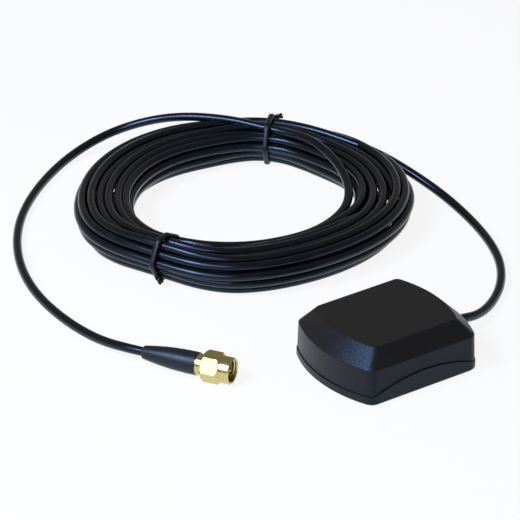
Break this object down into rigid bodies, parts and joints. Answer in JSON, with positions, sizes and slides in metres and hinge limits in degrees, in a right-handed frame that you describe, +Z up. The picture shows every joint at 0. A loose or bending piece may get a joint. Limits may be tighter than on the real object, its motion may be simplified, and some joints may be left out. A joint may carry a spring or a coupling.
{
  "type": "gps antenna",
  "caption": "Low puck-shaped magnetic-mount satellite antenna with a thin coaxial lead wound in a tied coil and a screw-on coaxial plug.",
  "frame": {"origin": "middle of the puck's flat underside, on the surface it stands on", "axes": "+Z up, +X along the puck's long axis to the side where the lead leaves it"},
  "size_m": [0.1364, 0.1761, 0.0157],
  "materials": {
    "abs_black": "fine moulded texture",
    "rubber_black": "matt moulded rubber",
    "pvc_black": "smooth extruded jacket",
    "tie_black": "plastic-covered wire",
    "gold_plate": "bright gold plating on turned brass",
    "ptfe_white": "waxy white",
    "polyethylene_clear": "milky",
    "ceramic_tan": "fired, ground flat",
    "silver_paint": "matt silver",
    "board_green": "solder mask",
    "tinplate": "bright tin",
    "nickel_magnet": "nickel-plated magnet",
    "screw_steel": "zinc-plated",
    "chip_black": "moulded",
    "foam_grey": "open foam",
    "tape_white": "acrylic foam tape"
  },
  "bodies": {
    "antenna": {"housing_cover": "abs_black", "base_tray": "abs_black", "seal_ring": "rubber_black", "cable_grommet": "rubber_black", "magnets": "nickel_magnet", "base_screws": "screw_steel", "circuit_board": "board_green", "patch_tape": "tape_white", "ceramic_patch": "ceramic_tan", "patch_electrode": "silver_paint", "feed_pin": "tinplate", "foam_pad": "foam_grey", "shield_can": "tinplate", "amplifier_components": "chip_black", "antenna_core": "polyethylene_clear", "puck_lead": "pvc_black", "cable_coil": "pvc_black", "plug_lead": "pvc_black", "tie_front": "tie_black", "tie_back": "tie_black", "connector_boot": "rubber_black", "crimp_ferrule": "gold_plate", "plug_core": "polyethylene_clear", "connector_body": "gold_plate", "retaining_ring": "screw_steel", "nut_gasket": "rubber_black", "insulator": "ptfe_white", "center_pin": "gold_plate"},
    "nut": {"coupling_nut": "gold_plate"}
  },
  "joints": [
    {"name": "nut_spin", "type": "hinge", "parent": "antenna", "child": "nut", "pos_m": [-0.04488, 0.01778, 0.004], "axis": [0.5358, -0.8443, 0], "continuous": true}
  ]
}
